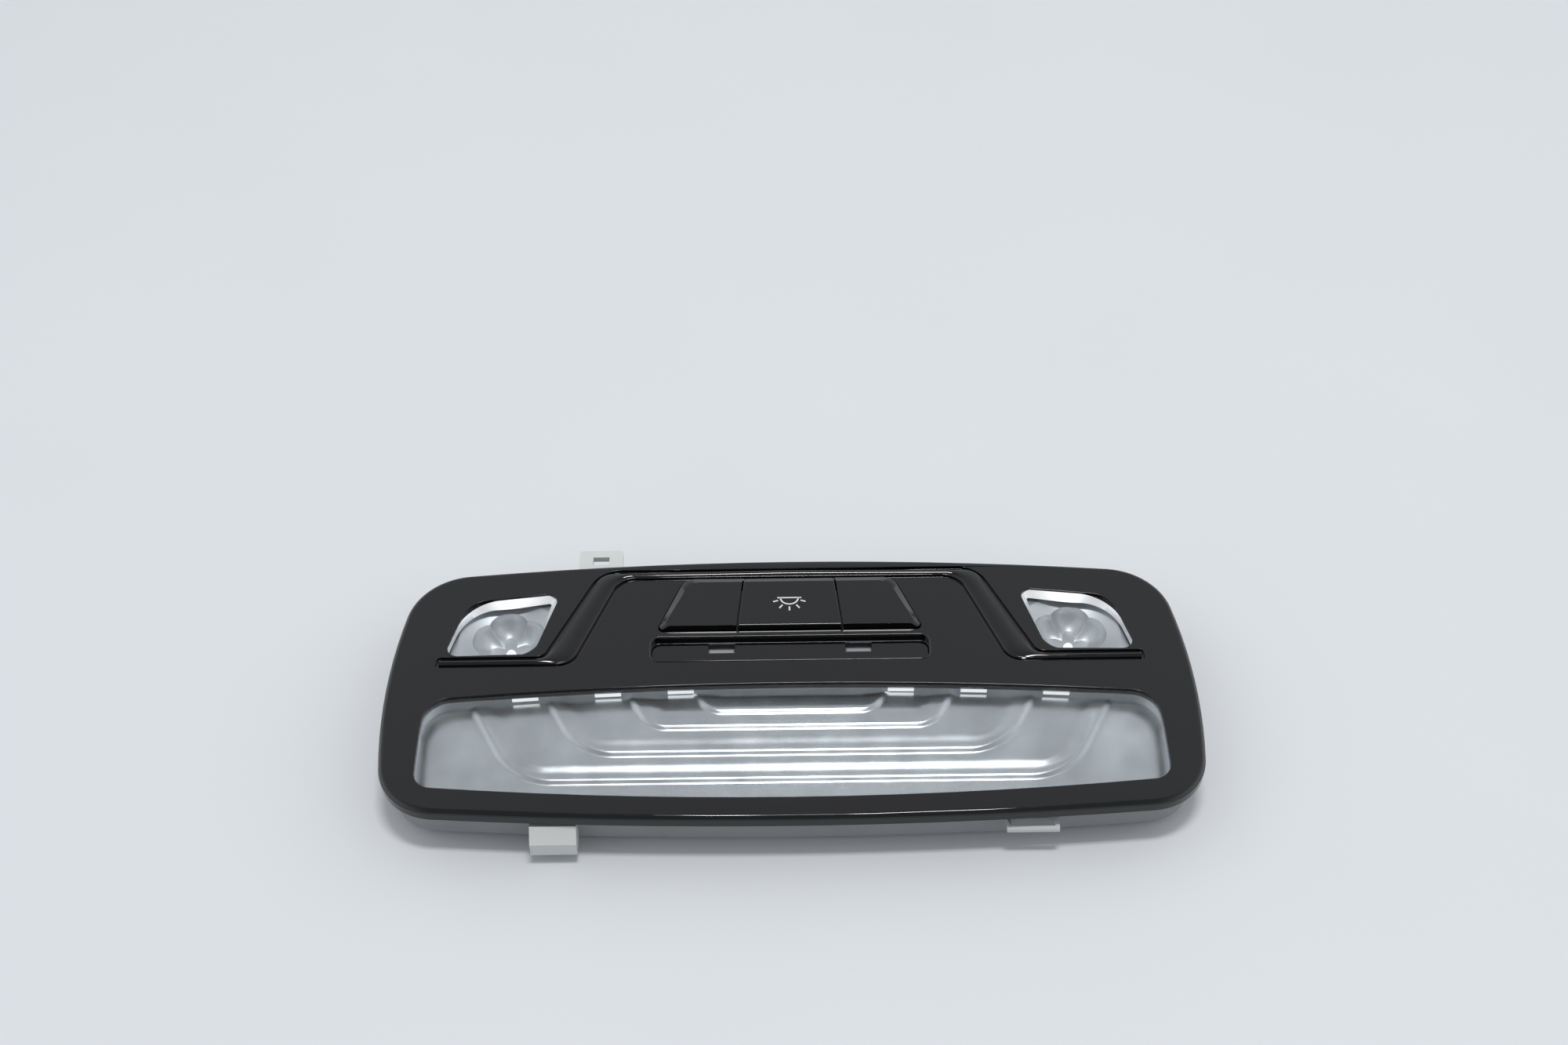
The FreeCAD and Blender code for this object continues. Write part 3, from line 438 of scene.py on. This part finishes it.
def satin_plastic(name, pale, dark, rough_low, rough_high, grain_mm, glow=0.0):
    """Pigmented ABS, moulded in an etched tool: even satin with a fine grain and slight shade differences
    from the flow of the melt. A lamp's package glows a little, as its resin passes the light on."""
    made, tree, place = new_material(name)
    # Clouds of the melt about 14 mm across; the etched grain is about 0.1 mm, drawn coarser so that it shows
    cloud = node(tree, "TexNoise", {"Vector": place}, Scale=1 / (14 * MM), Detail=3.0)
    grain = node(tree, "TexNoise", {"Vector": place}, Scale=1 / (grain_mm * MM), Detail=2.0)
    colour = node(tree, "MixRGB", {"Fac": cloud}, Color1=linear(dark), Color2=linear(pale))
    rough = node(tree, "ValToRGB", {"Fac": grain}, [(0.3, rough_low), (0.7, rough_high)])
    bump = node(tree, "Bump", {"Height": grain}, Strength=0.25, Distance=0.015 * MM)
    finish = node(tree, "BsdfPrincipled", {"Base Color": colour, "Roughness": rough, "Normal": bump},
                  IOR=1.5, Emission_Strength=glow)
    node(tree, "OutputMaterial", {"Surface": finish})
    return made


def housing_plastic_with_painted_shade(name, pale, shade):
    """Light grey ABS, moulded in an etched tool: its own pale grey on the clip, catch and tab, and a painted
    shade, a darker grey standing in for the shade under the rim, on the tub behind the rim, as the face
    attribute pale says."""
    made, tree, place = new_material(name)
    mark = node(tree, "Attribute", attribute_name="pale")
    # Etched grain of about 0.1 mm, drawn at 0.5 mm so that it shows, and clouds of the melt about 14 mm across
    grain = node(tree, "TexNoise", {"Vector": place}, Scale=1 / (0.5 * MM), Detail=2.0)
    cloud = node(tree, "TexNoise", {"Vector": place}, Scale=1 / (14 * MM), Detail=3.0)
    light = node(tree, "MixRGB", {"Fac": cloud}, Color1=linear(pale[0]), Color2=linear(pale[1]))
    # Painted shade: a darker grey on the tub behind the rim, standing in for the shade under the rim
    deep = node(tree, "MixRGB", {"Fac": cloud}, Color1=linear(shade[0]), Color2=linear(shade[1]))
    colour = node(tree, "MixRGB", {"Fac": mark.outputs["Fac"], "Color1": deep, "Color2": light})
    rough = node(tree, "ValToRGB", {"Fac": grain}, [(0.3, 0.42), (0.7, 0.58)])
    bump = node(tree, "Bump", {"Height": grain}, Strength=0.25, Distance=0.015 * MM)
    finish = node(tree, "BsdfPrincipled", {"Base Color": colour, "Roughness": rough, "Normal": bump},
                  IOR=1.5)
    node(tree, "OutputMaterial", {"Surface": finish})
    return made


def metallised_film(name, rough_low, rough_high, wave_mm):
    """Vacuum metallised plastic: a thin aluminium film that copies the moulding under it, bright, slightly
    hazy, with faint cloudy patches."""
    made, tree, place = new_material(name)
    # Patches of the film about 9 mm across, and the moulding's own waviness, a few millimetres across
    cloud = node(tree, "TexNoise", {"Vector": place}, Scale=1 / (9 * MM), Detail=4.0)
    wave = node(tree, "TexNoise", {"Vector": place}, Scale=1 / (wave_mm * MM), Detail=3.0)
    colour = node(tree, "MixRGB", {"Fac": cloud}, Color1=linear("#e0e2e4"), Color2=linear("#eeeff0"))
    rough = node(tree, "ValToRGB", {"Fac": cloud}, [(0.3, rough_low), (0.7, rough_high)])
    bump = node(tree, "Bump", {"Height": wave}, Strength=0.12, Distance=0.05 * MM)
    finish = node(tree, "BsdfPrincipled", {"Base Color": colour, "Roughness": rough, "Normal": bump},
                  Metallic=1.0)
    node(tree, "OutputMaterial", {"Surface": finish})
    return made


def clear_sheet(name):
    """Clear polycarbonate, moulded and polished: see-through with a faint grey, a weak sharp reflection
    that grows towards grazing angles, and a trace of haze. A thin cover, so it bends no light."""
    made, tree, place = new_material(name)
    # Patches of haze about 11 mm across
    haze = node(tree, "TexNoise", {"Vector": place}, Scale=1 / (11 * MM), Detail=3.0)
    tint = node(tree, "ValToRGB", {"Fac": haze}, [(0.3, linear("#f3f5f6")), (0.8, linear("#eaeced"))])
    rough = node(tree, "ValToRGB", {"Fac": haze}, [(0.3, 0.03), (0.8, 0.08)])
    clear = node(tree, "BsdfTransparent", {"Color": tint})
    gloss = node(tree, "BsdfGlossy", {"Roughness": rough}, Color=linear("#ffffff"))
    facing = node(tree, "LayerWeight", Blend=0.5).outputs["Facing"]
    steep = node(tree, "Math", {0: facing, 1: 5.0}, operation="POWER")
    share = node(tree, "MapRange", {"Value": steep}, To_Min=0.035, To_Max=1.0)
    finish = node(tree, "MixShader", {0: share, 1: clear, 2: gloss})
    node(tree, "OutputMaterial", {"Surface": finish})
    return made


def plated_metal(name, pale, dark, rough_low, rough_high):
    """Plated steel or tinned brass, barrel finished: dull bright metal with fine scuffs."""
    made, tree, place = new_material(name)
    # Scuffs of about 0.1 mm, drawn at 0.5 mm so that they show
    scuff = node(tree, "TexNoise", {"Vector": place}, Scale=1 / (0.5 * MM), Detail=4.0)
    colour = node(tree, "MixRGB", {"Fac": scuff}, Color1=linear(dark), Color2=linear(pale))
    rough = node(tree, "ValToRGB", {"Fac": scuff}, [(0.3, rough_low), (0.7, rough_high)])
    finish = node(tree, "BsdfPrincipled", {"Base Color": colour, "Roughness": rough}, Metallic=1.0)
    node(tree, "OutputMaterial", {"Surface": finish})
    return made


def solder_mask(name):
    """Glass-epoxy board under green solder mask: glossy green with darker tracks showing through."""
    made, tree, place = new_material(name)
    # Fields of copper 3 mm by 1.5 mm, half and a quarter of the pattern's 6 mm, and a grain of 0.8 mm
    brick = node(tree, "TexBrick", {"Vector": place}, Scale=1 / (6 * MM), Color1=linear("#1f5a33"),
                 Color2=linear("#1b4f2d"), Mortar=linear("#123b20"), Mortar_Size=0.03)
    grain = node(tree, "TexNoise", {"Vector": place}, Scale=1 / (0.8 * MM), Detail=2.0)
    rough = node(tree, "ValToRGB", {"Fac": grain}, [(0.3, 0.28), (0.7, 0.42)])
    finish = node(tree, "BsdfPrincipled", {"Base Color": brick, "Roughness": rough}, IOR=1.5)
    node(tree, "OutputMaterial", {"Surface": finish})
    return made


PIANO_BLACK = gloss_black("piano_black_bezel", 0.0)
BUTTON_BLACK = gloss_black("piano_black_buttons", 0.01)
# The first pair of greys is the housing's own pale grey; the second is a painted shade for the tub behind the
# rim
HOUSING_GREY_PAINTED_SHADE = housing_plastic_with_painted_shade("housing_grey", ("#cacccb", "#bfc2c1"), ("#878a8c", "#7c7f81"))
CARRIER_GREY = satin_plastic("carrier_grey", "#8b8d8f", "#7d8082", 0.42, 0.58, 0.5)
FILM_WHITE = satin_plastic("strip_film_white", "#eceae6", "#e2e0db", 0.38, 0.5, 0.6)
PLUNGER_WHITE = satin_plastic("plunger_white", "#dedcd6", "#d2d0c9", 0.4, 0.55, 0.5)
SWITCH_BLACK = satin_plastic("switch_black", "#202022", "#161618", 0.35, 0.5, 0.4)
HEADER_BLACK = satin_plastic("header_black", "#242426", "#19191b", 0.38, 0.55, 0.4)
PRINT_WHITE = satin_plastic("symbol_print", "#d4d6d8", "#c6c9cc", 0.35, 0.45, 0.3)
LAMP_PACKAGE = satin_plastic("lamp_package", "#fbfbf9", "#f4f3f0", 0.3, 0.45, 0.6, 0.8)
MAIN_FILM = metallised_film("metallised_main", 0.2, 0.27, 3.0)
BOWL_FILM = metallised_film("metallised_bowls", 0.4, 0.5, 1.2)
CLEAR = clear_sheet("clear_polycarbonate")
PIN_TIN = plated_metal("pins_tinned", "#cfcac0", "#b9b3a6", 0.22, 0.36)
SCREW_ZINC = plated_metal("screws_zinc", "#b9bcc0", "#9da0a5", 0.28, 0.42)
BOARD_GREEN = solder_mask("board_solder_mask")


# The pieces

merged_copy("bezel", "lamp", PIANO_BLACK, 0.35)
# The housing's tub behind the rim is left unmarked, so it takes the painted shade
mark_pale_over_painted_shade(merged_copy("housing", "lamp", HOUSING_GREY_PAINTED_SHADE, 0.25))
make_terraces(MAIN_FILM)
for SIDE in ("left", "right"):
    make_bowl(SIDE, BOWL_FILM)
    make_collar(SIDE, BOWL_FILM)
make_band(PIANO_BLACK)
make_pocket_lip(PIANO_BLACK)
make_symbol(PRINT_WHITE)
for SIDE in ("left", "centre", "right"):
    merged_copy("button_" + SIDE, SIDE + "_button", BUTTON_BLACK, 0.3)
    dress(NODES["switch_body_" + SIDE], SWITCH_BLACK)
    dress(NODES["switch_plunger_" + SIDE], PLUNGER_WHITE)
for NAME in ("main_lens", "reading_lens_left", "reading_lens_right"):
    dress(NODES[NAME], CLEAR)
for NAME in ("main_leds", "reading_led_left", "reading_led_right"):
    dress(NODES[NAME], LAMP_PACKAGE)
dress(NODES["button_carrier"], CARRIER_GREY)
dress(NODES["circuit_board"], BOARD_GREEN)
dress(NODES["led_strip"], FILM_WHITE)
dress(NODES["connector_header"], HEADER_BLACK)
dress(NODES["connector_pins"], PIN_TIN)
dress(NODES["housing_screws"], SCREW_ZINC)


# Floor, light and camera

def make_floor():
    """Plain pale table, a square sheet under the back of the lamp, far wider than the view."""
    made, tree, place = new_material("pale_table")
    # Slight shade differences about 90 mm across
    cloud = node(tree, "TexNoise", {"Vector": place}, Scale=1 / (90 * MM), Detail=2.0)
    colour = node(tree, "MixRGB", {"Fac": cloud}, Color1=linear("#ced1d4"), Color2=linear("#d1d4d7"))
    finish = node(tree, "BsdfPrincipled", {"Base Color": colour}, Roughness=0.6, IOR=1.4)
    node(tree, "OutputMaterial", {"Surface": finish})
    half = 2.5
    corners = [(-half, -half, 0), (half, -half, 0), (half, half, 0), (-half, half, 0)]
    mesh = bpy.data.meshes.new("table")
    mesh.from_pydata(corners, [], [(0, 1, 2, 3)])
    floor = bpy.data.objects.new("table", mesh)
    bpy.context.scene.collection.objects.link(floor)
    dress(floor, made)


def make_light():
    """One lamp straight overhead, a little to the right, and a room that is bright behind and at both
    sides."""
    lamp = bpy.data.lights.new("overhead", "AREA")
    lamp.shape = "RECTANGLE"
    lamp.size = 0.36
    lamp.size_y = 0.16
    lamp.energy = 9.5
    holder = bpy.data.objects.new("overhead", lamp)
    holder.location = (0.07, 0.0, 1.5)
    bpy.context.scene.collection.objects.link(holder)

    world = bpy.data.worlds.new("room")
    bpy.context.scene.world = world
    world.use_nodes = True
    tree = world.node_tree
    tree.nodes.clear()
    way = node(tree, "TexCoord").outputs["Generated"]
    across, ahead, _ = node(tree, "SeparateXYZ", {"Vector": way}).outputs
    back = node(tree, "MapRange", {"Value": ahead}, From_Min=0.0, From_Max=0.75, To_Min=0.34, To_Max=0.80)
    sides = node(tree, "Math", {0: across, 1: across}, operation="MULTIPLY")
    whole = node(tree, "Math", {0: sides, 1: 1.3, 2: back}, operation="MULTIPLY_ADD")
    shine = node(tree, "Background", {"Strength": whole}, Color=linear("#f6f8fb"))
    node(tree, "OutputWorld", {"Surface": shine})


def make_camera():
    """Camera of the photograph: pitched 46 degrees down, 45.9 mm lens on a 36 mm wide frame. A point in the
    middle of the face shows at a known pixel, and the camera stands back from it along that pixel's ray."""
    wide, tall, sensor, focal = 2000.0, 1333.0, 36.0, 2550.0
    pitch, roll, yaw = math.radians(46), math.radians(0.4), math.radians(0.42)
    target, pixel, distance = np.array([0.0, -4.25, FACE_Z]), (1009.0, 885.0), 531.6
    right = np.array([1.0, 0, 0])
    ahead = np.array([0, math.cos(pitch), -math.sin(pitch)])
    down = np.cross(ahead, right)
    rows = np.array([math.cos(roll) * right + math.sin(roll) * down,
                     -math.sin(roll) * right + math.cos(roll) * down, ahead])
    turn = np.array([[math.cos(yaw), -math.sin(yaw), 0], [math.sin(yaw), math.cos(yaw), 0], [0, 0, 1]])
    axes = rows @ turn
    ray = np.array([(pixel[0] - wide / 2) / focal, (pixel[1] - tall / 2) / focal, 1.0])
    spot = target - axes.T @ (ray / np.linalg.norm(ray) * distance)
    data = bpy.data.cameras.new("photo")
    data.sensor_width = sensor
    data.lens = focal * sensor / wide
    data.clip_start = 0.01
    camera = bpy.data.objects.new("photo", data)
    matrix = np.eye(4)
    matrix[:3, :3] = (axes * [[1], [-1], [-1]]).T
    matrix[:3, 3] = spot * MM
    camera.matrix_world = Matrix(matrix.tolist())
    bpy.context.scene.collection.objects.link(camera)
    bpy.context.scene.camera = camera


make_floor()
make_light()
make_camera()
bpy.context.scene.view_settings.view_transform = "Standard"

bpy.context.view_layer.update()
